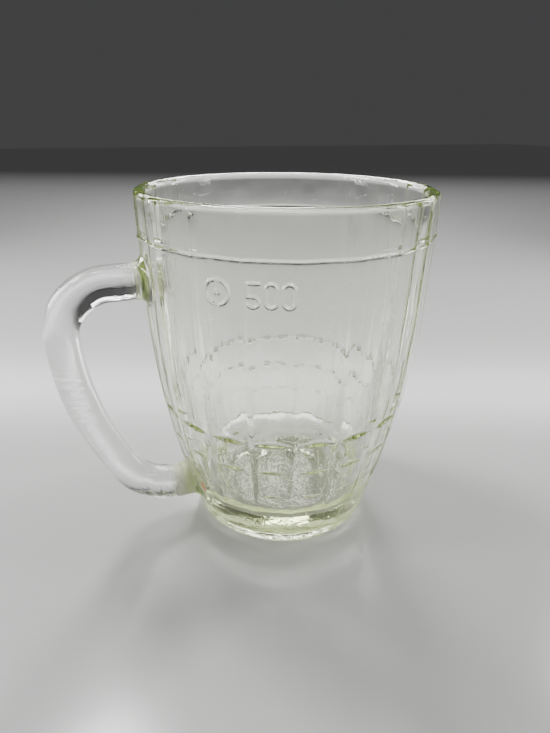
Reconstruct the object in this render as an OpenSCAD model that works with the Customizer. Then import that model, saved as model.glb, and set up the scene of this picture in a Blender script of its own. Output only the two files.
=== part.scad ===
// Handled half-litre pressed-glass mug: a faceted, tapering vessel and the clear
// bar handle that is fused to two lugs on its wall.
// Origin: on the vessel's axis, at the plane the foot rests on. +Z is up and the
// handle points along -X.

/* [Vessel] */
// Height from the resting plane to the top of the lip
height = 124; // [118:0.5:130]
// Half-width across the flats of the facets at the top of the lip
rim_flat_r = 49.1; // [47:0.1:51]
// Number of flat facets round the wall
facets = 20; // [16:2:24]
// How much the upper wall leans outward, in mm for each mm of height
wall_draft = 0.02; // [0.01:0.005:0.03]
// Height at which the straight upper wall turns into the curved lower wall
bend_z = 91; // [85:1:97]
// Radius of the lower wall's outward curve, seen from the side
bulge_r = 303; // [260:1:350]
// Height of the facets' lower edge, where the round heel begins
facet_foot_z = 17.3; // [15:0.1:20]

/* [Wall and floor] */
// Wall thickness at the flats, where the upper wall starts to curve
wall_t = 4.4; // [3.8:0.1:5]
// How much the inside of the upper wall leans outward, in mm for each mm of height
bore_draft = 0.03; // [0.02:0.005:0.04]
// Radius of the inside wall's curve, seen from the side
bore_bulge_r = 300; // [270:1:340]
// Height of the inside floor
floor_z = 12; // [9:0.5:14]
// Radius of the corner between the inside wall and the floor
floor_corner_r = 12; // [8:0.5:16]
// Radius of the rounded lip's cross-section
lip_r = 2.4; // [2.1:0.1:2.6]

/* [Heel and foot] */
// Radius of the round heel where it meets the facets
heel_top_r = 37.3; // [36.5:0.1:37.4]
// Radius of the round heel just above its rounded edge
heel_low_r = 35.2; // [34.5:0.1:36]
// Radius of the heel's rounded edge
heel_round_r = 6.5; // [5:0.5:7.5]
// Radius of the shallow hollow under the foot
hollow_r = 21.5; // [18:0.5:24]
// Depth of the shallow hollow under the foot
hollow_depth = 1.4; // [0.8:0.1:2]

/* [Cut rows] */
// Height of the lowest row of short cuts
first_row_z = 28; // [26:0.5:30]
// Distance between the rows of short cuts
row_pitch = 11.9; // [11:0.1:12.5]
// Length of the cuts in each row, from the lowest up, as a share of their facets' width
cut_shares = [0.63, 0.75, 0.89]; // [0.5:0.01:0.92]
// Radius of the V-edged wheel that leaves the lens-shaped cuts
wheel_r = 25; // [20:1:32]
// Half-angle of the wheel's V edge
wheel_half_angle = 58; // [44:1:60]

/* [Fill line and marks] */
// Height of the raised fill line
line_z = 110.6; // [108:0.1:113]
// Width of the raised fill line
line_w = 0.9; // [0.6:0.1:1.2]
// How far the fill line stands out from the facets
line_proud = 0.4; // [0.2:0.1:0.6]
// How far the raised marks stand out from their facets
mark_proud = 0.5; // [0.3:0.1:0.7]
// Height of the raised capacity figures
figure_h = 7.6; // [6:0.1:8]
// Height of the middle of the raised marks
mark_z = 101.3; // [99:0.1:103]

/* [Handle] */
// Thickness of the handle's bar, in the plane of the handle
bar_t = 11; // [10:0.5:12]
// Width of the handle's bar, across the plane of the handle
bar_w = 14; // [12.5:0.5:16]
// Height of the bar's centre line where it leaves the upper lug
upper_z = 96.8; // [95:0.1:98]
// Reach of the handle's centre line from the vessel's axis
reach = 76; // [75.5:0.5:80]
// Radius of the handle's upper bend
upper_bend_r = 16; // [13:0.5:18]
// Radius of the long curve down the handle's side
side_bend_r = 103; // [95:1:112]
// How far the long curve turns, in degrees
side_turn = 24; // [22:0.5:25]
// Length of the straight stretch below the long curve
slope_len = 10; // [8:0.5:11]
// Radius of the handle's lower bend
lower_bend_r = 22; // [20:0.5:22.5]

/* [Lugs] */
// Distance of the upper lug's face from the vessel's axis
upper_face_x = 52.4; // [52:0.1:54]
// Distance of the lower lug's face from the vessel's axis
lower_face_x = 41.8; // [41:0.1:43]
// Radius of the concave flare from each lug into the wall
flare_r = 4; // [3:0.5:5]

/* [Hidden] */
$fn = 96;
// Sides of the circle that the inside wall's long curve is part of.
arc_fn = 720;
// Rings of points up the curved outside wall, and points round the handle's bar.
wall_steps = 12;
bar_sides = 32;
// Steps round the handle's upper bend, its long curve and its lower bend.
bend_steps = [15, 8, 12];
// Further from the axis than any part of the vessel.
far = 80;
// How deep shapes reach into each other where they join or cut.
overlap = 1;

// How far the lip stands out past the facets' corners.
lip_proud = 0.15;
// Depth of the V edge of the cutting wheel, more than any cut needs.
wheel_edge_depth = 1.4;

// The facets that carry the raised marks, counted anticlockwise from the one beside +X.
mark_facet = 13;
badge_facet = 12;
// The capacity figures: width, stroke and gap, and the opening in the bowl of the five.
figure_w = figure_h * 0.52;
figure_line = 0.95;
figure_gap = 0.9;
bowl_open_low = -1 / 3;
bowl_open_high = 0.8 - 1 / 3;
// Diameters of the badge's ring, outside and inside, and of its pip.
badge_d = 8;
badge_inner_d = 6.2;
pip_d = 2;

// The flare starts this far inside the bar's outline.
throat_inset = 0.3;
// How far each lug reaches into the wall behind it, less than the wall's thickness.
lug_root = 3;

facet_angle = 360 / facets;
facet_half = facet_angle / 2;

// Centres of the long side curves, tangent to the straight upper wall.
bend_flat_r = rim_flat_r - wall_draft * (height - bend_z);
bulge_z = bend_z + bulge_r * sin(atan(wall_draft));
bulge_x = bend_flat_r - bulge_r * cos(atan(wall_draft));
bore_bend_r = bend_flat_r - wall_t;
bore_bulge_z = bend_z + bore_bulge_r * sin(atan(bore_draft));
bore_bulge_x = bore_bend_r - bore_bulge_r * cos(atan(bore_draft));

// Half-width across the flats, and its slope, at a height on the curved wall.
function flat_r(z) = z > bend_z
    ? rim_flat_r - wall_draft * (height - z)
    : bulge_x + sqrt(bulge_r ^ 2 - (bulge_z - z) ^ 2);
function flat_lean(z) = z > bend_z ? atan(wall_draft) : asin((bulge_z - z) / bulge_r);

// The lip's cross-section circle, just outside the facets' corners.
lip_out_r = rim_flat_r / cos(facet_half) + lip_proud;
lip_x = lip_out_r - lip_r;
lip_z = height - lip_r;

// The floor corner's circle, tangent to the floor and to the side curve.
corner_z = floor_z + floor_corner_r;
corner_x = bore_bulge_x + sqrt((bore_bulge_r - floor_corner_r) ^ 2 - (bore_bulge_z - corner_z) ^ 2);
corner_turn = asin((bore_bulge_z - corner_z) / (bore_bulge_r - floor_corner_r));

// The handle's centre line: the ends of its arcs and straights, as [distance, height].
upper_bend_c = [reach - upper_bend_r, upper_z - upper_bend_r];
side_bend_c = [reach - side_bend_r, upper_bend_c[1]];
side_end = side_bend_c + side_bend_r * [cos(side_turn), -sin(side_turn)];
slope_end = side_end - slope_len * [sin(side_turn), cos(side_turn)];
lower_bend_c = slope_end - lower_bend_r * [cos(side_turn), -sin(side_turn)];
lower_z = lower_bend_c[1] - lower_bend_r;

// ---- Vessel ----

// A closed solid through a stack of rings that all have the same number of points.
module skin(rings) {
    n = len(rings[0]);
    last = (len(rings) - 1) * n;
    polyhedron(
        points = [for (ring = rings) each ring],
        faces = [
            [for (j = [0 : n - 1]) j],
            for (i = [0 : len(rings) - 2], j = [0 : n - 1])
                [i * n + j, (i + 1) * n + j, (i + 1) * n + (j + 1) % n, i * n + (j + 1) % n],
            [for (j = [n - 1 : -1 : 0]) last + j],
        ]
    );
}

// The flat-sided ring of facet corners for a half-width across the flats.
function facet_ring(flat, z) = [
    for (i = [0 : facets - 1])
        let (a = i * facet_angle, r = flat / cos(facet_half)) [r * cos(a), r * sin(a), z]
];

module faceted_form() {
    low_turn = flat_lean(facet_foot_z);
    high_turn = atan(wall_draft);
    skin([
        for (i = [0 : wall_steps])
            let (turn = low_turn + (high_turn - low_turn) * i / wall_steps)
                facet_ring(bulge_x + bulge_r * cos(turn), bulge_z - bulge_r * sin(turn)),
        facet_ring(rim_flat_r, height),
    ]);
}

// Everything below the rounded lip, as a solid of revolution round the corners.
module lip_form() {
    rotate_extrude() {
        square([lip_out_r, lip_z]);
        square([lip_x, height]);
        translate([lip_x, lip_z]) circle(r = lip_r);
    }
}

module heel_form() {
    rotate_extrude() {
        polygon([
            [0, heel_round_r],
            [heel_low_r, heel_round_r],
            [heel_top_r, facet_foot_z],
            [heel_top_r, facet_foot_z + overlap],
            [0, facet_foot_z + overlap],
        ]);
        square([heel_low_r - heel_round_r, heel_round_r]);
        intersection() {
            translate([heel_low_r - heel_round_r, heel_round_r]) circle(r = heel_round_r);
            square([heel_low_r, heel_round_r]);
        }
    }
}

// The hollow inside, open upward past the lip.
module cavity() {
    rotate_extrude() {
        intersection() {
            translate([bore_bulge_x, bore_bulge_z]) circle(r = bore_bulge_r, $fn = arc_fn);
            translate([0, corner_z - floor_corner_r * sin(corner_turn)])
                square([far, bend_z - corner_z + floor_corner_r * sin(corner_turn)]);
        }
        intersection() {
            translate([corner_x, corner_z]) circle(r = floor_corner_r);
            square([far, corner_z]);
        }
        translate([0, floor_z]) square([corner_x, floor_corner_r]);
        difference() {
            polygon([
                [0, bend_z],
                [bore_bend_r, bend_z],
                [lip_x - lip_r, lip_z],
                [lip_x, lip_z],
                [lip_x, height + overlap],
                [0, height + overlap],
            ]);
            translate([lip_x, lip_z]) circle(r = lip_r);
        }
    }
}

// A V-edged cutting wheel held against one facet at height z, for a cut of a given share.
module wheel_cut(z, share) {
    cut_len = share * 2 * flat_r(z) * tan(facet_half);
    cut_depth = cut_len ^ 2 / (8 * wheel_r);
    wheel_turn = 4 * asin(cut_len / 2 / wheel_r);
    edge_half_w = wheel_edge_depth * tan(wheel_half_angle);
    translate([flat_r(z), 0, z])
        rotate([0, flat_lean(z), 0])
            translate([wheel_r - cut_depth, 0, 0])
                rotate([0, 0, 180 - wheel_turn / 2])
                rotate_extrude(angle = wheel_turn)
                    polygon([
                        [wheel_r, 0],
                        [wheel_r - wheel_edge_depth, edge_half_w],
                        [wheel_r - wheel_edge_depth, -edge_half_w],
                    ]);
}

module cut_rows() {
    for (row = [0 : len(cut_shares) - 1], i = [0 : facets - 1])
        rotate([0, 0, (i + 0.5) * facet_angle])
            wheel_cut(first_row_z + row * row_pitch, cut_shares[row]);
}

// The fill line: a band that follows the facets.
module fill_line() {
    translate([0, 0, line_z - line_w / 2])
        linear_extrude(line_w)
            polygon([for (p = facet_ring(flat_r(line_z) + line_proud, 0)) [p[0], p[1]]]);
}

// One straight raised stroke with round ends.
module stroke(from, to, w) {
    run = to - from;
    translate(from) circle(d = w);
    translate(to) circle(d = w);
    translate(from) rotate(atan2(run[1], run[0])) translate([0, -w / 2]) square([norm(run), w]);
}

module figure_0() {
    side = figure_w / 2;
    straight = figure_h / 2 - side;
    hole_r = side - figure_line;
    difference() {
        union() {
            for (s = [-1, 1]) translate([0, s * straight]) circle(r = side);
            square([figure_w, 2 * straight], center = true);
        }
        for (s = [-1, 1]) translate([0, s * straight]) circle(r = hole_r);
        square([2 * hole_r, 2 * straight], center = true);
    }
}

module figure_5() {
    bowl_r = figure_w / 2;
    bowl_y = bowl_r - figure_h / 2;
    top_y = (figure_h - figure_line) / 2;
    left_x = (figure_line - figure_w) / 2;
    corner = [left_x, top_y];
    stroke(corner, [bowl_r - figure_line, top_y], figure_line);
    stroke(corner, [left_x, bowl_y + bowl_r - figure_line], figure_line);
    translate([0, bowl_y]) difference() {
        circle(r = bowl_r);
        circle(r = bowl_r - figure_line);
        translate([-figure_w, bowl_r * bowl_open_low])
            square([figure_w, bowl_r * (bowl_open_high - bowl_open_low)]);
    }
}

module capacity_figures() {
    pitch = figure_w + figure_gap;
    translate([-pitch, 0]) figure_5();
    figure_0();
    translate([pitch, 0]) figure_0();
}

// A plain ring round a pip.
module plain_badge() {
    difference() {
        circle(d = badge_d);
        circle(d = badge_inner_d);
    }
    circle(d = pip_d);
}

// Raises a flat outline from the facet with this number.
module on_facet(index) {
    rotate([0, 0, (index + 0.5) * facet_angle])
        translate([flat_r(mark_z), 0, mark_z])
            rotate([0, flat_lean(mark_z), 0])
                rotate([90, 0, 90])
                    translate([0, 0, -overlap]) linear_extrude(overlap + mark_proud) children();
}

// A flared lug on the wall, with the bar's own outline at its face.
module lug(face_x, z, wall_x) {
    throat_r = bar_t / 2 - throat_inset;
    len = face_x - wall_x;
    translate([-face_x, 0, z]) rotate([0, 90, 0]) {
        linear_extrude(len + lug_root) bar_outline();
        rotate_extrude() difference() {
            square([throat_r + flare_r, len + lug_root]);
            translate([throat_r + flare_r, len - flare_r]) circle(r = flare_r);
            translate([throat_r, -overlap]) square([flare_r + overlap, len - flare_r + overlap]);
        }
    }
}

module vessel() {
    color("#dfe8c2", 0.45) difference() {
        union() {
            difference() {
                intersection() {
                    faceted_form();
                    lip_form();
                }
                cut_rows();
            }
            heel_form();
            fill_line();
            on_facet(mark_facet) capacity_figures();
            on_facet(badge_facet) plain_badge();
            lug(upper_face_x, upper_z, flat_r(upper_z));
            lug(lower_face_x, lower_z, flat_r(lower_z));
        }
        cavity();
        translate([0, 0, -overlap]) cylinder(r = hollow_r, h = overlap + hollow_depth);
    }
}

// ---- Handle ----

// The bar's outline: x is across the handle's thickness, y across its width.
module bar_outline() {
    for (s = [-1, 1]) translate([0, s * (bar_w - bar_t) / 2]) circle(d = bar_t);
    square([bar_t, bar_w - bar_t], center = true);
}

// A stop on the centre line, part way round a bend: its distance, height and turn.
function bend_stop(centre, r, turn) = [centre[0] + r * cos(turn), centre[1] + r * sin(turn), turn];

function bend_stops(centre, r, from, to, steps) = [
    for (i = [0 : steps]) bend_stop(centre, r, from + (to - from) * i / steps)
];

// The bar's cross-section at one stop, square to the centre line.
function bar_ring(stop) = [
    for (j = [0 : bar_sides - 1])
        let (
            a = j * 360 / bar_sides,
            out = bar_t / 2 * cos(a),
            side = bar_t / 2 * sin(a) + sign(sin(a)) * (bar_w - bar_t) / 2
        )
            [-stop[0] - out * cos(stop[2]), side, stop[1] + out * sin(stop[2])]
];

module handle() {
    stops = concat(
        [[upper_face_x, upper_z, 90]],
        bend_stops(upper_bend_c, upper_bend_r, 90, 0, bend_steps[0]),
        bend_stops(side_bend_c, side_bend_r, -side_turn / bend_steps[1], -side_turn, bend_steps[1] - 1),
        bend_stops(lower_bend_c, lower_bend_r, -side_turn, -90, bend_steps[2]),
        [[lower_face_x, lower_z, -90]]
    );
    color("#eef2ee", 0.4) skin([for (stop = stops) bar_ring(stop)]);
}

vessel();
handle();
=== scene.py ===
"""The looks of the handled glass mug.

Fine meshes for both pieces of glass, their materials, a floor, lights and a camera.
"""

import math

import bpy
import numpy as np
from mathutils import Matrix, Vector


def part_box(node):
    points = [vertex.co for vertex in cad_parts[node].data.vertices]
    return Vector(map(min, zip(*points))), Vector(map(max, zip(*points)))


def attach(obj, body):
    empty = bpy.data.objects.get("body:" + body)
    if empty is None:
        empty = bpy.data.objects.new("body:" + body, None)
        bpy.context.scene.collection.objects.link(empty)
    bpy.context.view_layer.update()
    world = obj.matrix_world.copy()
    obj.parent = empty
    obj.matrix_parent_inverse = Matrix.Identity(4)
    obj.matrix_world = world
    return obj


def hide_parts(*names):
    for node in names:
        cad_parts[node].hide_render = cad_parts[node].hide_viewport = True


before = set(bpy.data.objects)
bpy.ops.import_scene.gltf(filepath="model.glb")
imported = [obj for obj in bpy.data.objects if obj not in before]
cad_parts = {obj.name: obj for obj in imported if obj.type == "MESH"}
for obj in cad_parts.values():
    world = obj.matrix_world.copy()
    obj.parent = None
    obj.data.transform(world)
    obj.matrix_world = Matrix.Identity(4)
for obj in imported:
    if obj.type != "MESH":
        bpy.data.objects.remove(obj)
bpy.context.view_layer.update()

MM = 0.001

# ---------------------------------------------------------------- dimensions, in millimetres
# Both pieces are worked out from these, as in the CAD. The height comes from the frame's own box.

VESSEL_TOP = Vector(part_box("vessel")[1]) / MM
HEIGHT = VESSEL_TOP.z
FACETS = 20
FACET_TURN = math.tau / FACETS
RIM_FLAT_R = 49.1
WALL_DRAFT = 0.02
BEND_Z = 91.0
BULGE_R = 303.0
FACET_FOOT_Z = 17.3
ARRIS_R = 1.2

WALL_T = 4.4
BORE_DRAFT = 0.03
BORE_BULGE_R = 300.0
FLOOR_Z = 12.0
FLOOR_CORNER_R = 12.0
LIP_R = 2.4
LIP_PROUD = 0.15
LIP_SOFTNESS = 0.15

HEEL_TOP_R = 37.3
HEEL_LOW_R = 35.2
HEEL_ROUND_R = 6.5
HOLLOW_DEPTH = 1.4
LEDGE_H = 0.35

FIRST_ROW_Z = 28.0
ROW_PITCH = 11.9
CUT_SHARES = (0.63, 0.75, 0.89)
WHEEL_R = 25.0
WHEEL_HALF_ANGLE = math.radians(58)
CUT_SOFTNESS = 0.09

LINE_Z = 110.6
LINE_HALF_W = 0.42
LINE_PROUD = 0.4

MARK_Z = 101.3
MARK_PROUD = 0.5
MARK_FACET = 13
BADGE_FACET = 12
FIGURE_H = 7.6
FIGURE_W = 3.95
FIGURE_PITCH = 4.85
FIGURE_LINE = 0.95
MARK_HALF_W = 0.62
MARK_SLOPE_W = 0.46
BADGE_R = 3.55
PIP_R = 0.5

BAR_T = 11.0
BAR_W = 14.0
UPPER_Z = 96.8
REACH = 76.0
UPPER_BEND_R = 16.0
SIDE_BEND_R = 103.0
SIDE_TURN = math.radians(24)
SLOPE_LEN = 10.0
LOWER_BEND_R = 22.0
UPPER_FACE_X = 52.4
LOWER_FACE_X = 41.8
FLARE_R = 3.4
# A hair of air between the handle's ends and the lugs, so that no two faces coincide
FUSED_GAP = 0.03

STAIN_AT = (-36.8, -13.1, 20.6)

# ---------------------------------------------------------------- the vessel's form

HIGH_TURN = math.atan(WALL_DRAFT)
BEND_FLAT_R = RIM_FLAT_R - WALL_DRAFT * (HEIGHT - BEND_Z)
BULGE_Z = BEND_Z + BULGE_R * math.sin(HIGH_TURN)
BULGE_X = BEND_FLAT_R - BULGE_R * math.cos(HIGH_TURN)
BORE_TURN = math.atan(BORE_DRAFT)
BORE_BEND_R = BEND_FLAT_R - WALL_T
BORE_BULGE_Z = BEND_Z + BORE_BULGE_R * math.sin(BORE_TURN)
BORE_BULGE_X = BORE_BEND_R - BORE_BULGE_R * math.cos(BORE_TURN)
LIP_X = RIM_FLAT_R / math.cos(FACET_TURN / 2) + LIP_PROUD - LIP_R
LIP_Z = HEIGHT - LIP_R
CORNER_Z = FLOOR_Z + FLOOR_CORNER_R
CORNER_X = BORE_BULGE_X + math.sqrt(
    (BORE_BULGE_R - FLOOR_CORNER_R) ** 2 - (BORE_BULGE_Z - CORNER_Z) ** 2
)
CORNER_TURN = math.asin((BORE_BULGE_Z - CORNER_Z) / (BORE_BULGE_R - FLOOR_CORNER_R))
ROW_HEIGHTS = [FIRST_ROW_Z + i * ROW_PITCH for i in range(len(CUT_SHARES))]
CELL_HEIGHTS = [FACET_FOOT_Z, *ROW_HEIGHTS]


def smooth_max(a, b, k):
    """The larger of a and b, with the corner between them rounded over about k."""
    return 0.5 * (a + b + np.sqrt((a - b) ** 2 + k * k))


def smooth_min(a, b, k):
    """The smaller of a and b, with the corner between them rounded over about k."""
    return -smooth_max(-a, -b, k)


def curved_flat_radius(z):
    """Half-width across the flats on the smooth curve."""
    low = BULGE_X + np.sqrt(BULGE_R**2 - (BULGE_Z - np.minimum(z, BULGE_Z)) ** 2)
    return np.where(z > BEND_Z, RIM_FLAT_R - WALL_DRAFT * (HEIGHT - z), low)


def flat_radius(z):
    """Half-width across the flats: straight from row to row of cuts, and curved above them."""
    z = np.asarray(z, float)
    cells = np.interp(z, CELL_HEIGHTS, curved_flat_radius(np.array(CELL_HEIGHTS)))
    return np.where(z < ROW_HEIGHTS[-1], cells, curved_flat_radius(z))


def facet_angle(theta):
    """The angle from the middle of its facet, for each angle round the axis."""
    return np.mod(theta, FACET_TURN) - FACET_TURN / 2


def prism_radius(flat, theta):
    """Distance from the axis to a many-sided outline whose corners are rounded by ARRIS_R."""
    off = facet_angle(theta)
    half = FACET_TURN / 2
    straight = flat / np.cos(off)
    from_corner = half - np.abs(off)
    centre = (flat - ARRIS_R) / math.cos(half)
    inside = np.maximum(ARRIS_R**2 - (centre * np.sin(from_corner)) ** 2, 0)
    rounded = centre * np.cos(from_corner) + np.sqrt(inside)
    return np.where(np.abs(flat * np.tan(off)) > (flat - ARRIS_R) * math.tan(half), rounded, straight)


def cut_depth_at(theta, z, flat):
    """How deep the rows of wheel cuts go at each point of the facets."""
    across = flat * np.tan(facet_angle(theta))
    depth = np.zeros_like(across)
    for row_z, share in zip(ROW_HEIGHTS, CUT_SHARES):
        row_flat = float(curved_flat_radius(np.array(row_z)))
        length = share * 2 * row_flat * math.tan(FACET_TURN / 2)
        deepest = length**2 / (8 * WHEEL_R)
        off = np.sqrt((z - row_z) ** 2 + CUT_SOFTNESS**2) - CUT_SOFTNESS
        edge = np.maximum(WHEEL_R - off / math.tan(WHEEL_HALF_ANGLE), 0)
        reach = np.sqrt(np.maximum(edge**2 - across**2, 0)) - (WHEEL_R - deepest)
        depth += np.maximum(smooth_max(reach, 0, CUT_SOFTNESS) - CUT_SOFTNESS / 2, 0)
    return depth


def stroke_distance(x, y, x0, y0, x1, y1):
    """Distance from points to one straight stroke."""
    run = np.array([x1 - x0, y1 - y0])
    t = np.clip(((x - x0) * run[0] + (y - y0) * run[1]) / (run @ run), 0, 1)
    return np.hypot(x - x0 - t * run[0], y - y0 - t * run[1])


def zero_distance(x, y):
    """Distance to the middle of the stroke of a nought."""
    side = (FIGURE_W - FIGURE_LINE) / 2
    straight = FIGURE_H / 2 - FIGURE_W / 2
    return np.abs(np.hypot(x, y - np.clip(y, -straight, straight)) - side)


def five_distance(x, y):
    """Distance to the middle of the stroke of a five: a bar, a short upright and an open bowl."""
    bowl_start = math.radians(100)
    bowl_end = math.radians(-150)
    side = (FIGURE_W - FIGURE_LINE) / 2
    top = (FIGURE_H - FIGURE_LINE) / 2
    bowl_y = side - top
    knee = bowl_y + side
    bowl_turn = np.arctan2(y - bowl_y, x)
    open_side = (bowl_turn > bowl_start) | (bowl_turn < bowl_end)
    bowl = np.abs(np.hypot(x, y - bowl_y) - side)
    ends = np.minimum(
        np.hypot(x - side * math.cos(bowl_start), y - bowl_y - side * math.sin(bowl_start)),
        np.hypot(x - side * math.cos(bowl_end), y - bowl_y - side * math.sin(bowl_end)),
    )
    parts = [
        stroke_distance(x, y, -side, top, side, top),
        stroke_distance(x, y, -side, top, -side, knee),
        stroke_distance(x, y, -side, knee, -0.2, knee),
        np.where(open_side, ends, bowl),
    ]
    return np.minimum.reduce(parts)


def badge_distance(x, y):
    """Distance to a plain ring and to the pip at its middle."""
    r = np.hypot(x, y)
    return np.minimum(np.abs(r - BADGE_R), np.maximum(r - PIP_R, 0))


def mark_height_at(theta, z, flat):
    """The raised capacity figures and the plain badge, as a height above their facets."""
    facet = np.floor(np.mod(theta, math.tau) / FACET_TURN)
    x = flat * np.tan(facet_angle(theta))
    y = z - MARK_Z
    figures = np.minimum.reduce(
        [five_distance(x + FIGURE_PITCH, y), zero_distance(x, y), zero_distance(x - FIGURE_PITCH, y)]
    )
    distance = np.where(facet == MARK_FACET, figures, 99.0)
    distance = np.where(facet == BADGE_FACET, badge_distance(x, y), distance)
    t = np.clip((MARK_HALF_W - distance) / MARK_SLOPE_W, 0, 1)
    return MARK_PROUD * t * t * (3 - 2 * t)


def outside_radius(theta, z):
    """Distance from the axis to the faceted wall, with its cuts, fill line and marks."""
    flat = flat_radius(z)
    wall = prism_radius(flat, theta)
    wall = wall - cut_depth_at(theta, z, flat)
    wall = wall + LINE_PROUD * np.exp(-(((z - LINE_Z) / LINE_HALF_W) ** 2))
    return wall + mark_height_at(theta, z, flat)


def heel_radius(z):
    """Distance from the axis to the heel's straight side."""
    share = (z - HEEL_ROUND_R) / (FACET_FOOT_Z - HEEL_ROUND_R)
    return HEEL_LOW_R + (HEEL_TOP_R - HEEL_LOW_R) * share


def wall_radius(theta, z):
    """The outside wall above the heel's rounded edge, the ledge under the facets included."""
    share = np.clip((z - (FACET_FOOT_Z - LEDGE_H)) / LEDGE_H, 0, 1)
    share = share * share * (3 - 2 * share)
    faceted = outside_radius(theta, np.maximum(z, FACET_FOOT_Z))
    return heel_radius(z) * (1 - share) + faceted * share


# ---------------------------------------------------------------- the vessel's mesh


# Columns of the mesh across one facet: close enough together for the raised marks, and plain
MARKED_COLUMNS = 72
PLAIN_COLUMNS = 20
# The foot's rings from the middle out: distance from the axis, and height as a share of the hollow's depth
FOOT_RINGS = (
    (4, 1.0),
    (9, 0.98),
    (14, 0.92),
    (18, 0.82),
    (20.3, 0.62),
    (21.3, 0.35),
    (22, 0.12),
    (22.8, 0.0),
    (25.0, 0.0),
    (27.0, 0.0),
)
HEEL_STEPS = 12
# How far the hole behind a lug goes past the lug's flare, above and below
HOLE_MARGIN = 0.3
LIP_STEPS = 24
FIRST_WALL_ROW = len(FOOT_RINGS) + HEEL_STEPS + 1


def column_angles():
    """Angles round the axis: close together at the arrises, and closest on the two marked facets."""
    angles = []
    for facet in range(FACETS):
        marked = facet in (MARK_FACET, BADGE_FACET)
        count = MARKED_COLUMNS if marked else PLAIN_COLUMNS
        u = np.arange(count) / count * 2 - 1
        eased = u if marked else 0.72 * u + 0.28 * np.sin(u * math.pi / 2)
        angles.extend((facet + 0.5 + eased / 2) * FACET_TURN)
    return np.array(angles)


def wall_heights():
    """Heights of the outside wall's rows: close together at the cuts, fill line and marks."""
    fine = [0, 0.12, 0.24, 0.38, 0.54, 0.72, 0.92, 1.2, 1.7]
    z = set(np.arange(HEEL_ROUND_R + 1.2, LIP_Z, 2.0))
    z = {v for v in z if all(abs(v - f) > 2.0 for f in [*ROW_HEIGHTS, LINE_Z, FACET_FOOT_Z])}
    z |= {row + s * d for row in ROW_HEIGHTS for d in fine for s in (-1, 1)}
    z |= {LINE_Z + s * d for d in fine[:7] for s in (-1, 1)}
    z |= {FACET_FOOT_Z + d for d in (-1.6, -0.8, -0.35, -0.26, -0.17, -0.08, 0, 0.15, 0.5, 1.2)}
    low, high = MARK_Z - FIGURE_H / 2 - 0.9, MARK_Z + FIGURE_H / 2 + 0.9
    z = {v for v in z if not low < v < high}
    z |= set(np.arange(low, high, 0.2))
    return np.array(sorted({round(float(v), 3) for v in z}))


def vessel_rows(theta):
    """Every ring of the vessel, from the middle of its foot round the lip to the inside floor."""
    rows = []
    for r, z in FOOT_RINGS:
        rows.append((np.full_like(theta, r), np.full_like(theta, z * HOLLOW_DEPTH)))
    heel_x = HEEL_LOW_R - HEEL_ROUND_R
    for step in range(HEEL_STEPS + 1):
        turn = math.radians(-90 + 90 * step / HEEL_STEPS)
        r = heel_x + HEEL_ROUND_R * math.cos(turn)
        z = HEEL_ROUND_R + HEEL_ROUND_R * math.sin(turn)
        rows.append((np.full_like(theta, r), np.full_like(theta, z)))
    for z in wall_heights():
        rows.append((wall_radius(theta, np.full_like(theta, z)), np.full_like(theta, z)))
    for step in range(LIP_STEPS + 1):
        turn = math.pi * step / LIP_STEPS
        z = LIP_Z + LIP_R * math.sin(turn)
        ring = np.full_like(theta, LIP_X + LIP_R * math.cos(turn))
        if step < LIP_STEPS // 2:
            ring = smooth_min(ring, prism_radius(flat_radius(z), theta), LIP_SOFTNESS)
        rows.append((ring, np.full_like(theta, z)))
    for z in np.linspace(LIP_Z, BEND_Z, 14)[1:]:
        share = (z - BEND_Z) / (LIP_Z - BEND_Z)
        r = BORE_BEND_R + (LIP_X - LIP_R - BORE_BEND_R) * share
        rows.append((np.full_like(theta, r), np.full_like(theta, z)))
    for turn in np.linspace(BORE_TURN, CORNER_TURN, 26)[1:]:
        r = BORE_BULGE_X + BORE_BULGE_R * math.cos(turn)
        z = BORE_BULGE_Z - BORE_BULGE_R * math.sin(turn)
        rows.append((np.full_like(theta, r), np.full_like(theta, z)))
    for turn in np.linspace(CORNER_TURN, math.pi / 2, 14)[1:]:
        r = CORNER_X + FLOOR_CORNER_R * math.cos(turn)
        z = CORNER_Z - FLOOR_CORNER_R * math.sin(turn)
        rows.append((np.full_like(theta, r), np.full_like(theta, z)))
    for r in (15.0, 9.0, 4.0):
        rows.append((np.full_like(theta, r), np.full_like(theta, FLOOR_Z)))
    return rows


def wall_x(y, z):
    """Distance along -X to the outside wall, at a height and a distance to the side."""
    x = np.full_like(y, 45.0)
    for _ in range(6):
        theta = math.pi + np.arctan2(-y, x)
        x = np.sqrt(np.maximum(wall_radius(theta, z) ** 2 - y * y, 1))
    return x


def bar_outline(y, z):
    """For each direction from the bar's middle: the point on its outline, and the outward normal."""
    flat_half = (BAR_W - BAR_T) / 2
    turn = np.arctan2(z, y)
    c, s = np.cos(turn), np.sin(turn)
    cap = flat_half * np.abs(c) + np.sqrt((BAR_T / 2) ** 2 - (flat_half * s) ** 2)
    side = (BAR_T / 2) / np.maximum(np.abs(s), 1e-9)
    r = np.where(side * np.abs(c) < flat_half, side, cap)
    py, pz = r * c, r * s
    ny = py - np.clip(py, -flat_half, flat_half)
    norm = np.hypot(ny, pz)
    return py, pz, ny / norm, pz / norm


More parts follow.
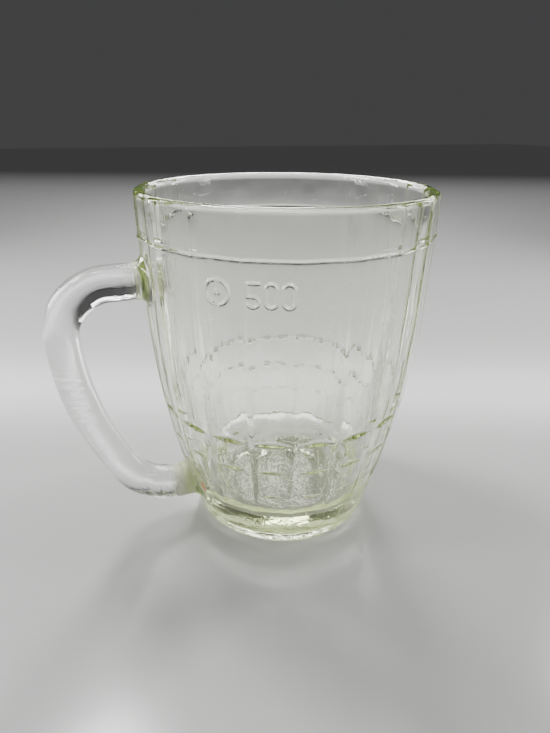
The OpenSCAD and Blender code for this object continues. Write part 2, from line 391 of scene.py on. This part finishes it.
def lug_rings(loop, lug_z, face_x):
    """Rings of points from a loop on the wall, over the flare, to the lug's flat face."""
    y, z = loop[:, 1], loop[:, 2] - lug_z
    py, pz, ny, nz = bar_outline(y, z)
    rings = []
    for share in (0.35, 0.7, 1.0):
        ry = y + (py + FLARE_R * ny - y) * share
        rz = z + (pz + FLARE_R * nz - z) * share
        rings.append(np.stack([-wall_x(ry, rz + lug_z), ry, rz + lug_z], 1))
    foot_x = wall_x(py, pz + lug_z)
    for step in range(1, 11):
        turn = math.pi / 2 * step / 10
        out = FLARE_R * (1 - math.sin(turn))
        rise = FLARE_R * (1 - math.cos(turn))
        ry, rz = py + out * ny, pz + out * nz
        x = np.minimum(wall_x(ry, rz + lug_z) + rise, face_x)
        rings.append(np.stack([-x, ry, rz + lug_z], 1))
    start = rings[-1]
    for share in (0.5, 1.0):
        x = -start[:, 0] + (face_x - np.maximum(-start[:, 0], foot_x)) * share
        rings.append(np.stack([-np.where(share == 1.0, face_x, x), py, pz + lug_z], 1))
    for scale in (0.6, 0.25):
        rings.append(np.stack([np.full_like(py, -face_x), py * scale, pz * scale + lug_z], 1))
    return rings


def vessel_mesh():
    """The whole vessel, with a hole left in the wall's grid behind each lug and stitched to its rings."""
    theta = column_angles()
    n = len(theta)
    rows = vessel_rows(theta)
    verts = np.concatenate([np.stack([r * np.cos(theta), r * np.sin(theta), z], 1) for r, z in rows])
    verts = list(verts)
    foot_middle = len(verts)
    verts.append(np.array([0, 0, HOLLOW_DEPTH]))
    floor_middle = len(verts)
    verts.append(np.array([0, 0, FLOOR_Z]))

    heights = wall_heights()
    holes = []
    for lug_z, face_x, side in ((UPPER_Z, UPPER_FACE_X, 11.2), (LOWER_FACE_Z, LOWER_FACE_X, 11.0)):
        half_hole = BAR_T / 2 + FLARE_R + HOLE_MARGIN
        low = FIRST_WALL_ROW + int(np.searchsorted(heights, lug_z - half_hole)) - 1
        high = FIRST_WALL_ROW + int(np.searchsorted(heights, lug_z + half_hole))
        wall_r = float(wall_radius(np.array([math.pi]), np.array([lug_z]))[0])
        spread = math.asin(side / wall_r)
        left = int(np.searchsorted(theta, math.pi - spread)) - 1
        right = int(np.searchsorted(theta, math.pi + spread))
        holes.append((low, high, left, right, lug_z, face_x))

    faces = []
    for i in range(len(rows) - 1):
        for j in range(n):
            if any(low <= i < high and left <= j < right for low, high, left, right, _, _ in holes):
                continue
            k = (j + 1) % n
            faces.append((i * n + j, i * n + k, (i + 1) * n + k, (i + 1) * n + j))
    last = (len(rows) - 1) * n
    for j in range(n):
        k = (j + 1) % n
        faces.append((foot_middle, k, j))
        faces.append((floor_middle, last + j, last + k))

    for low, high, left, right, lug_z, face_x in holes:
        loop = [low * n + j for j in range(left, right)]
        loop += [i * n + right for i in range(low, high)]
        loop += [high * n + j for j in range(right, left, -1)]
        loop += [i * n + left for i in range(high, low, -1)]
        points = np.array([verts[i] for i in loop])
        ring = loop
        for new in lug_rings(points, lug_z, face_x):
            start = len(verts)
            verts.extend(new)
            new_ring = list(range(start, start + len(loop)))
            for a in range(len(loop)):
                b = (a + 1) % len(loop)
                faces.append((ring[a], ring[b], new_ring[b], new_ring[a]))
            ring = new_ring
        middle = len(verts)
        verts.append(np.array([-face_x, 0, lug_z]))
        for a in range(len(ring)):
            faces.append((ring[a], ring[(a + 1) % len(ring)], middle))
    return np.array(verts), faces


# ---------------------------------------------------------------- the handle's mesh


def centre_line():
    """Stops along the handle's bar: distance from the axis, height and turn."""
    upper_c = (REACH - UPPER_BEND_R, UPPER_Z - UPPER_BEND_R)
    side_c = (REACH - SIDE_BEND_R, upper_c[1])
    side_end = (
        side_c[0] + SIDE_BEND_R * math.cos(SIDE_TURN),
        side_c[1] - SIDE_BEND_R * math.sin(SIDE_TURN),
    )
    slope_end = (
        side_end[0] - SLOPE_LEN * math.sin(SIDE_TURN),
        side_end[1] - SLOPE_LEN * math.cos(SIDE_TURN),
    )
    lower_c = (
        slope_end[0] - LOWER_BEND_R * math.cos(SIDE_TURN),
        slope_end[1] + LOWER_BEND_R * math.sin(SIDE_TURN),
    )

    def bend(centre, r, start, end, step):
        count = max(2, round(abs(end - start) * r / step))
        for i in range(count + 1):
            a = start + (end - start) * i / count
            yield (centre[0] + r * math.cos(a), centre[1] + r * math.sin(a), a)

    top_run = np.linspace(UPPER_FACE_X + FUSED_GAP, upper_c[0] - 1, 8)
    stops = [(x, UPPER_Z, math.pi / 2) for x in top_run]
    stops += list(bend(upper_c, UPPER_BEND_R, math.pi / 2, 0, 0.8))
    stops += list(bend(side_c, SIDE_BEND_R, -0.008, -SIDE_TURN, 1.0))
    for share in (0.25, 0.5, 0.75):
        stops.append(
            (
                side_end[0] + (slope_end[0] - side_end[0]) * share,
                side_end[1] + (slope_end[1] - side_end[1]) * share,
                -SIDE_TURN,
            )
        )
    stops += list(bend(lower_c, LOWER_BEND_R, -SIDE_TURN, -math.pi / 2, 0.8))
    lower_z = lower_c[1] - LOWER_BEND_R
    stops.append((LOWER_FACE_X + FUSED_GAP, lower_z, -math.pi / 2))
    return stops, lower_z


HANDLE_STOPS, LOWER_FACE_Z = centre_line()
HANDLE_SIDES = 56


def handle_mesh():
    """The bar swept along its centre line, closed at both ends."""
    sides = HANDLE_SIDES
    a = np.arange(sides) / sides * math.tau
    flat_half = (BAR_W - BAR_T) / 2
    out = BAR_T / 2 * np.cos(a)
    across = BAR_T / 2 * np.sin(a) + np.clip(np.sin(a) * 4, -1, 1) * flat_half
    verts = []
    for x, z, turn in HANDLE_STOPS:
        ring = np.stack([-(x + out * math.cos(turn)), across, z + out * math.sin(turn)], 1)
        verts.extend(ring)
    n = sides
    faces = []
    for i in range(len(HANDLE_STOPS) - 1):
        for j in range(n):
            k = (j + 1) % n
            faces.append((i * n + j, i * n + k, (i + 1) * n + k, (i + 1) * n + j))
    first_middle = len(verts)
    verts.append(np.array([-HANDLE_STOPS[0][0], 0, HANDLE_STOPS[0][1]]))
    last_middle = len(verts)
    verts.append(np.array([-HANDLE_STOPS[-1][0], 0, HANDLE_STOPS[-1][1]]))
    last = (len(HANDLE_STOPS) - 1) * n
    for j in range(n):
        k = (j + 1) % n
        faces.append((first_middle, k, j))
        faces.append((last_middle, last + j, last + k))
    return np.array(verts), faces


def piece(name, verts, faces, node, slot):
    """A smooth mesh piece, in metres, that stands for one CAD node."""
    mesh = bpy.data.meshes.new(name)
    mesh.from_pydata((np.asarray(verts) * MM).tolist(), [], faces)
    mesh.validate()
    mesh.polygons.foreach_set("use_smooth", [True] * len(mesh.polygons))
    mesh.update()
    obj = bpy.data.objects.new(name, mesh)
    bpy.context.scene.collection.objects.link(obj)
    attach(obj, "root")
    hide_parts(node)
    return obj


# ---------------------------------------------------------------- materials


def new_material(name):
    material = bpy.data.materials.new(name)
    material.use_nodes = True
    tree = material.node_tree
    for node in list(tree.nodes):
        tree.nodes.remove(node)
    return material, tree


class Nodes:
    """Short calls for building one material's node tree."""

    def __init__(self, tree):
        self.tree = tree
        self.place = tree.nodes.new("ShaderNodeTexCoord").outputs["Object"]

    def wire(self, value, socket):
        """Sets a socket to a plain value, or links it to another socket."""
        if isinstance(value, bpy.types.NodeSocket):
            self.tree.links.new(value, socket)
        else:
            socket.default_value = value

    def stretched(self, scale):
        node = self.tree.nodes.new("ShaderNodeMapping")
        self.wire(self.place, node.inputs["Vector"])
        node.inputs["Scale"].default_value = scale
        return node.outputs["Vector"]

    def noise(self, scale, detail=2.0, vector=None, roughness=0.5):
        node = self.tree.nodes.new("ShaderNodeTexNoise")
        self.wire(vector or self.place, node.inputs["Vector"])
        node.inputs["Scale"].default_value = scale
        node.inputs["Detail"].default_value = detail
        node.inputs["Roughness"].default_value = roughness
        return node.outputs["Fac"]

    def cells(self, scale):
        """Distance to the nearest of many scattered points."""
        node = self.tree.nodes.new("ShaderNodeTexVoronoi")
        self.wire(self.place, node.inputs["Vector"])
        node.inputs["Scale"].default_value = scale
        return node.outputs["Distance"]

    def ramp(self, value, low, high, out_low=0.0, out_high=1.0):
        """A smooth change from out_low to out_high as value goes from low to high."""
        node = self.tree.nodes.new("ShaderNodeMapRange")
        node.interpolation_type = "SMOOTHSTEP"
        self.wire(value, node.inputs["Value"])
        names = ("From Min", "From Max", "To Min", "To Max")
        for name, number in zip(names, (low, high, out_low, out_high)):
            node.inputs[name].default_value = number
        return node.outputs["Result"]

    def math(self, operation, a, b):
        node = self.tree.nodes.new("ShaderNodeMath")
        node.operation = operation
        self.wire(a, node.inputs[0])
        self.wire(b, node.inputs[1])
        return node.outputs["Value"]

    def along(self, axis):
        node = self.tree.nodes.new("ShaderNodeSeparateXYZ")
        self.wire(self.place, node.inputs["Vector"])
        return node.outputs[axis]

    def distance_to(self, point, scale=(1, 1, 1)):
        """Distance in metres from a point in millimetres, with each axis scaled first."""
        node = self.tree.nodes.new("ShaderNodeVectorMath")
        node.operation = "DISTANCE"
        self.wire(self.stretched(scale), node.inputs[0])
        node.inputs[1].default_value = [c * MM * s for c, s in zip(point, scale)]
        return node.outputs["Value"]

    def bump(self, height, distance, strength, under=None):
        node = self.tree.nodes.new("ShaderNodeBump")
        self.wire(height, node.inputs["Height"])
        node.inputs["Distance"].default_value = distance
        node.inputs["Strength"].default_value = strength
        if under:
            self.wire(under, node.inputs["Normal"])
        return node.outputs["Normal"]

    def colour_mix(self, share, a, b):
        node = self.tree.nodes.new("ShaderNodeMix")
        node.data_type = "RGBA"
        self.wire(share, node.inputs["Factor"])
        self.wire(a, node.inputs["A"])
        self.wire(b, node.inputs["B"])
        return node.outputs["Result"]


def near_joint(nodes, reach_upper, reach_lower):
    """How milky the glass is: 1 at each fused joint, 0 away from it, with an uneven edge."""
    wander = nodes.math("MULTIPLY", nodes.noise(260, 3), 3.0 * MM)
    shares = []
    for point, reach in (
        ((-UPPER_FACE_X, 0, UPPER_Z), reach_upper),
        ((-LOWER_FACE_X, 0, LOWER_FACE_Z), reach_lower),
    ):
        # The joint is a flat oval, so distance across it counts less than distance along the bar
        away = nodes.distance_to(point, (1.0, 0.6, 0.65))
        shares.append(nodes.ramp(nodes.math("ADD", away, wander), reach * MM, (reach + 3) * MM, 1, 0))
    return nodes.math("MAXIMUM", *shares)


def up_and_down(nodes):
    """Noise coordinates that hardly change up the wall."""
    return nodes.stretched((320, 320, 9))


def along_the_bar(nodes):
    """Noise coordinates from how far out the bar's surface is, so that they don't change along it."""
    upper = nodes.distance_to((UPPER_BEND_R - REACH, 0, UPPER_Z - UPPER_BEND_R), (1, 0, 1))
    side = nodes.distance_to((SIDE_BEND_R - REACH, 0, UPPER_Z - UPPER_BEND_R), (1, 0, 1))
    above = nodes.math("GREATER_THAN", nodes.along("Z"), (UPPER_Z - UPPER_BEND_R) * MM)
    out_upper = nodes.math("MULTIPLY", nodes.math("SUBTRACT", upper, UPPER_BEND_R * MM), above)
    below = nodes.math("SUBTRACT", 1.0, above)
    out_side = nodes.math("MULTIPLY", nodes.math("SUBTRACT", side, SIDE_BEND_R * MM), below)
    join = nodes.tree.nodes.new("ShaderNodeCombineXYZ")
    nodes.wire(nodes.math("MULTIPLY", nodes.math("ADD", out_upper, out_side), 500), join.inputs["X"])
    nodes.wire(nodes.math("MULTIPLY", nodes.along("Y"), 500), join.inputs["Y"])
    return join.outputs["Vector"]


def belly(nodes, height):
    """Where the handle's faint cross ripples are: 1 half way down its side, 0 above and below."""
    low = nodes.ramp(height, 25 * MM, 38 * MM)
    high = nodes.ramp(height, 62 * MM, 80 * MM, 1, 0)
    return nodes.math("MULTIPLY", low, high)


def glass_material(name, absorbed, density, milk, milk_reach, flow_along, flow_strength, stained, rippled):
    """Fire-polished pressed glass.

    absorbed and density set the tint that deep glass takes on. milk is the colour of the fused joints,
    and milk_reach is how far it goes from the upper and from the lower one, in millimetres. flow_along
    gives the noise coordinates of the flow lines.
    """
    material, tree = new_material(name)
    nodes = Nodes(tree)
    output = tree.nodes.new("ShaderNodeOutputMaterial")
    shader = tree.nodes.new("ShaderNodeBsdfPrincipled")
    shader.inputs["IOR"].default_value = 1.52
    tree.links.new(shader.outputs["BSDF"], output.inputs["Surface"])
    volume = tree.nodes.new("ShaderNodeVolumeAbsorption")
    volume.inputs["Color"].default_value = (*absorbed, 1)
    volume.inputs["Density"].default_value = density
    tree.links.new(volume.outputs["Volume"], output.inputs["Volume"])

    height = nodes.along("Z")
    milky = near_joint(nodes, *milk_reach)
    mottled = nodes.ramp(height, 13 * MM, 18 * MM, 1, 0)
    foot = nodes.ramp(height, 0.05 * MM, 0.4 * MM, 1, 0)
    specks = nodes.ramp(nodes.cells(150), 0.04, 0.06, 1, 0)
    smears = nodes.ramp(nodes.noise(45, 5), 0.52, 0.8)

    # Slow waves, flow lines along the glass, a mottled foot and a grainy joint
    waves = nodes.bump(nodes.noise(70, 1), 1.2 * MM, 0.25)
    flow = nodes.bump(nodes.noise(1, 2, flow_along(nodes)), 0.4 * MM, flow_strength, waves)
    if rippled:
        cross = nodes.noise(1, 1, nodes.stretched((60, 60, 900)))
        ripples = nodes.math("MULTIPLY", cross, belly(nodes, height))
        flow = nodes.bump(ripples, 0.3 * MM, 0.5, flow)
    mould = nodes.math("MULTIPLY", nodes.noise(420, 1), mottled)
    mould = nodes.bump(mould, 0.8 * MM, 0.12, flow)
    grain = nodes.math("MULTIPLY", nodes.noise(1600, 3), milky)
    tree.links.new(nodes.bump(grain, 0.5 * MM, 0.2, mould), shader.inputs["Normal"])

    rough = nodes.math("MULTIPLY", smears, 0.05)
    rough = nodes.math("ADD", rough, nodes.math("MULTIPLY", foot, 0.15))
    rough = nodes.math("ADD", rough, nodes.math("MULTIPLY", specks, 0.35))
    rough = nodes.math("ADD", rough, nodes.math("MULTIPLY", milky, 0.4))
    tree.links.new(rough, shader.inputs["Roughness"])

    cloudy = nodes.math("MULTIPLY", milky, 0.65)
    colour = nodes.colour_mix(milky, (1, 1, 1, 1), (*milk, 1))
    if stained:
        ragged = nodes.math("MULTIPLY", nodes.noise(900, 3), 2.4 * MM)
        stain = nodes.math("ADD", nodes.distance_to(STAIN_AT, (1, 1, 0.45)), ragged)
        stain = nodes.ramp(stain, 2.3 * MM, 2.8 * MM, 1, 0)
        cloudy = nodes.math("MAXIMUM", cloudy, nodes.math("MULTIPLY", stain, 0.85))
        colour = nodes.colour_mix(stain, colour, (0.55, 0.2, 0.03, 1))
    tree.links.new(nodes.math("SUBTRACT", 1.0, cloudy), shader.inputs["Transmission Weight"])
    tree.links.new(colour, shader.inputs["Base Color"])
    return material


def floor_material():
    material, tree = new_material("pale_floor")
    output = tree.nodes.new("ShaderNodeOutputMaterial")
    shader = tree.nodes.new("ShaderNodeBsdfPrincipled")
    shader.inputs["Base Color"].default_value = (0.5, 0.5, 0.495, 1)
    shader.inputs["Roughness"].default_value = 0.18
    tree.links.new(shader.outputs["BSDF"], output.inputs["Surface"])
    return material


# ---------------------------------------------------------------- stage, light and camera

# The camera's place in metres from the mug's axis, before it is turned round it
CAMERA_BACK = 0.1804
CAMERA_SIDE = 0.0031
CAMERA_HEIGHT = 0.1435
CAMERA_TURN = math.radians(-22)
CAMERA_PITCH = 0.443
CAMERA_ROLL = 0.009
CAMERA_LENS = 25.54
SENSOR = 36


def make_camera():
    data = bpy.data.cameras.new("camera")
    data.sensor_width = SENSOR
    data.lens = CAMERA_LENS
    data.clip_start = 0.01
    camera = bpy.data.objects.new("camera", data)
    bpy.context.scene.collection.objects.link(camera)
    turn = Matrix.Rotation(CAMERA_TURN, 3, "Z")
    place = turn @ Vector((-CAMERA_SIDE, -CAMERA_BACK, CAMERA_HEIGHT))
    right = turn @ Vector((1, 0, 0))
    ahead = turn @ Vector((0, math.cos(CAMERA_PITCH), -math.sin(CAMERA_PITCH)))
    up = right.cross(ahead)
    rolled = right * math.cos(CAMERA_ROLL) + up * math.sin(CAMERA_ROLL)
    top = rolled.cross(ahead)
    axes = Matrix((rolled, top, -ahead)).transposed()
    camera.matrix_world = Matrix.Translation(place) @ axes.to_4x4()
    bpy.context.scene.camera = camera


def make_floor():
    """A plain floor, a hair below the foot so that no two faces coincide."""
    mesh = bpy.data.meshes.new("floor")
    half = 3.0
    corners = [(-half, -half, 0), (half, -half, 0), (half, half, 0), (-half, half, 0)]
    mesh.from_pydata(corners, [], [(0, 1, 2, 3)])
    floor = bpy.data.objects.new("floor", mesh)
    floor.location.z = -0.0001
    floor.data.materials.append(floor_material())
    bpy.context.scene.collection.objects.link(floor)


def around(turn, away, height):
    """A place round the mug: turn in degrees from straight behind it, clockwise as seen from above."""
    turn = CAMERA_TURN - math.radians(turn)
    return (-math.sin(turn) * away, math.cos(turn) * away, height)


def area_light(name, place, size, power):
    """A softbox that faces the middle of the mug."""
    data = bpy.data.lights.new(name, "AREA")
    data.shape = "RECTANGLE"
    data.size, data.size_y = size
    data.energy = power
    light = bpy.data.objects.new(name, data)
    light.location = place
    aim = Vector((0, 0, HEIGHT * MM / 2)) - Vector(place)
    light.rotation_euler = aim.to_track_quat("-Z", "Y").to_euler()
    bpy.context.scene.collection.objects.link(light)


def make_light():
    world = bpy.data.worlds.new("studio")
    world.use_nodes = True
    world.node_tree.nodes["Background"].inputs["Color"].default_value = (0.06, 0.06, 0.062, 1)
    world.node_tree.nodes["Background"].inputs["Strength"].default_value = 1.0
    bpy.context.scene.world = world
    area_light("top_softbox", around(0, 0.12, 0.5), (0.3, 0.2), 0.45)
    area_light("key_lamp", around(-50, 0.25, 0.55), (0.1, 0.1), 1.6)
    area_light("back_softbox", around(-2, 0.75, 0.6), (0.24, 0.1), 4.6)
    area_light("horizon_strip", around(0, 1.2, 0.6), (2.2, 0.12), 8.5)
    area_light("left_back_strip", around(-62, 0.5, 0.28), (0.035, 0.4), 1.4)
    area_light("right_back_strip", around(58, 0.5, 0.28), (0.035, 0.4), 1.4)
    area_light("left_side_strip", around(-105, 0.45, 0.28), (0.035, 0.4), 1.3)
    area_light("right_side_strip", around(98, 0.45, 0.28), (0.035, 0.4), 1.1)


def let_light_through():
    """Lets light go on through the many reflections inside thick glass, which is what tints its edges."""
    cycles = bpy.context.scene.cycles
    cycles.max_bounces = 32
    cycles.glossy_bounces = 20
    cycles.transmission_bounces = 28


# ---------------------------------------------------------------- the scene

let_light_through()
make_camera()
vessel = piece("vessel_glass", *vessel_mesh(), "vessel", "vessel_glass")
vessel.data.materials.append(
    glass_material(
        "yellow_green_glass",
        absorbed=(0.8, 0.925, 0.27),
        density=13,
        milk=(0.94, 0.98, 0.62),
        milk_reach=(4.2, 6.2),
        flow_along=up_and_down,
        flow_strength=0.5,
        stained=True,
        rippled=False,
    )
)
handle = piece("handle_glass", *handle_mesh(), "handle", "handle_glass")
handle.data.materials.append(
    glass_material(
        "clear_glass",
        absorbed=(0.8, 0.9, 0.7),
        density=2.0,
        milk=(0.95, 0.98, 0.74),
        milk_reach=(3.4, 5.4),
        flow_along=along_the_bar,
        flow_strength=1.0,
        stained=False,
        rippled=True,
    )
)
make_floor()
make_light()
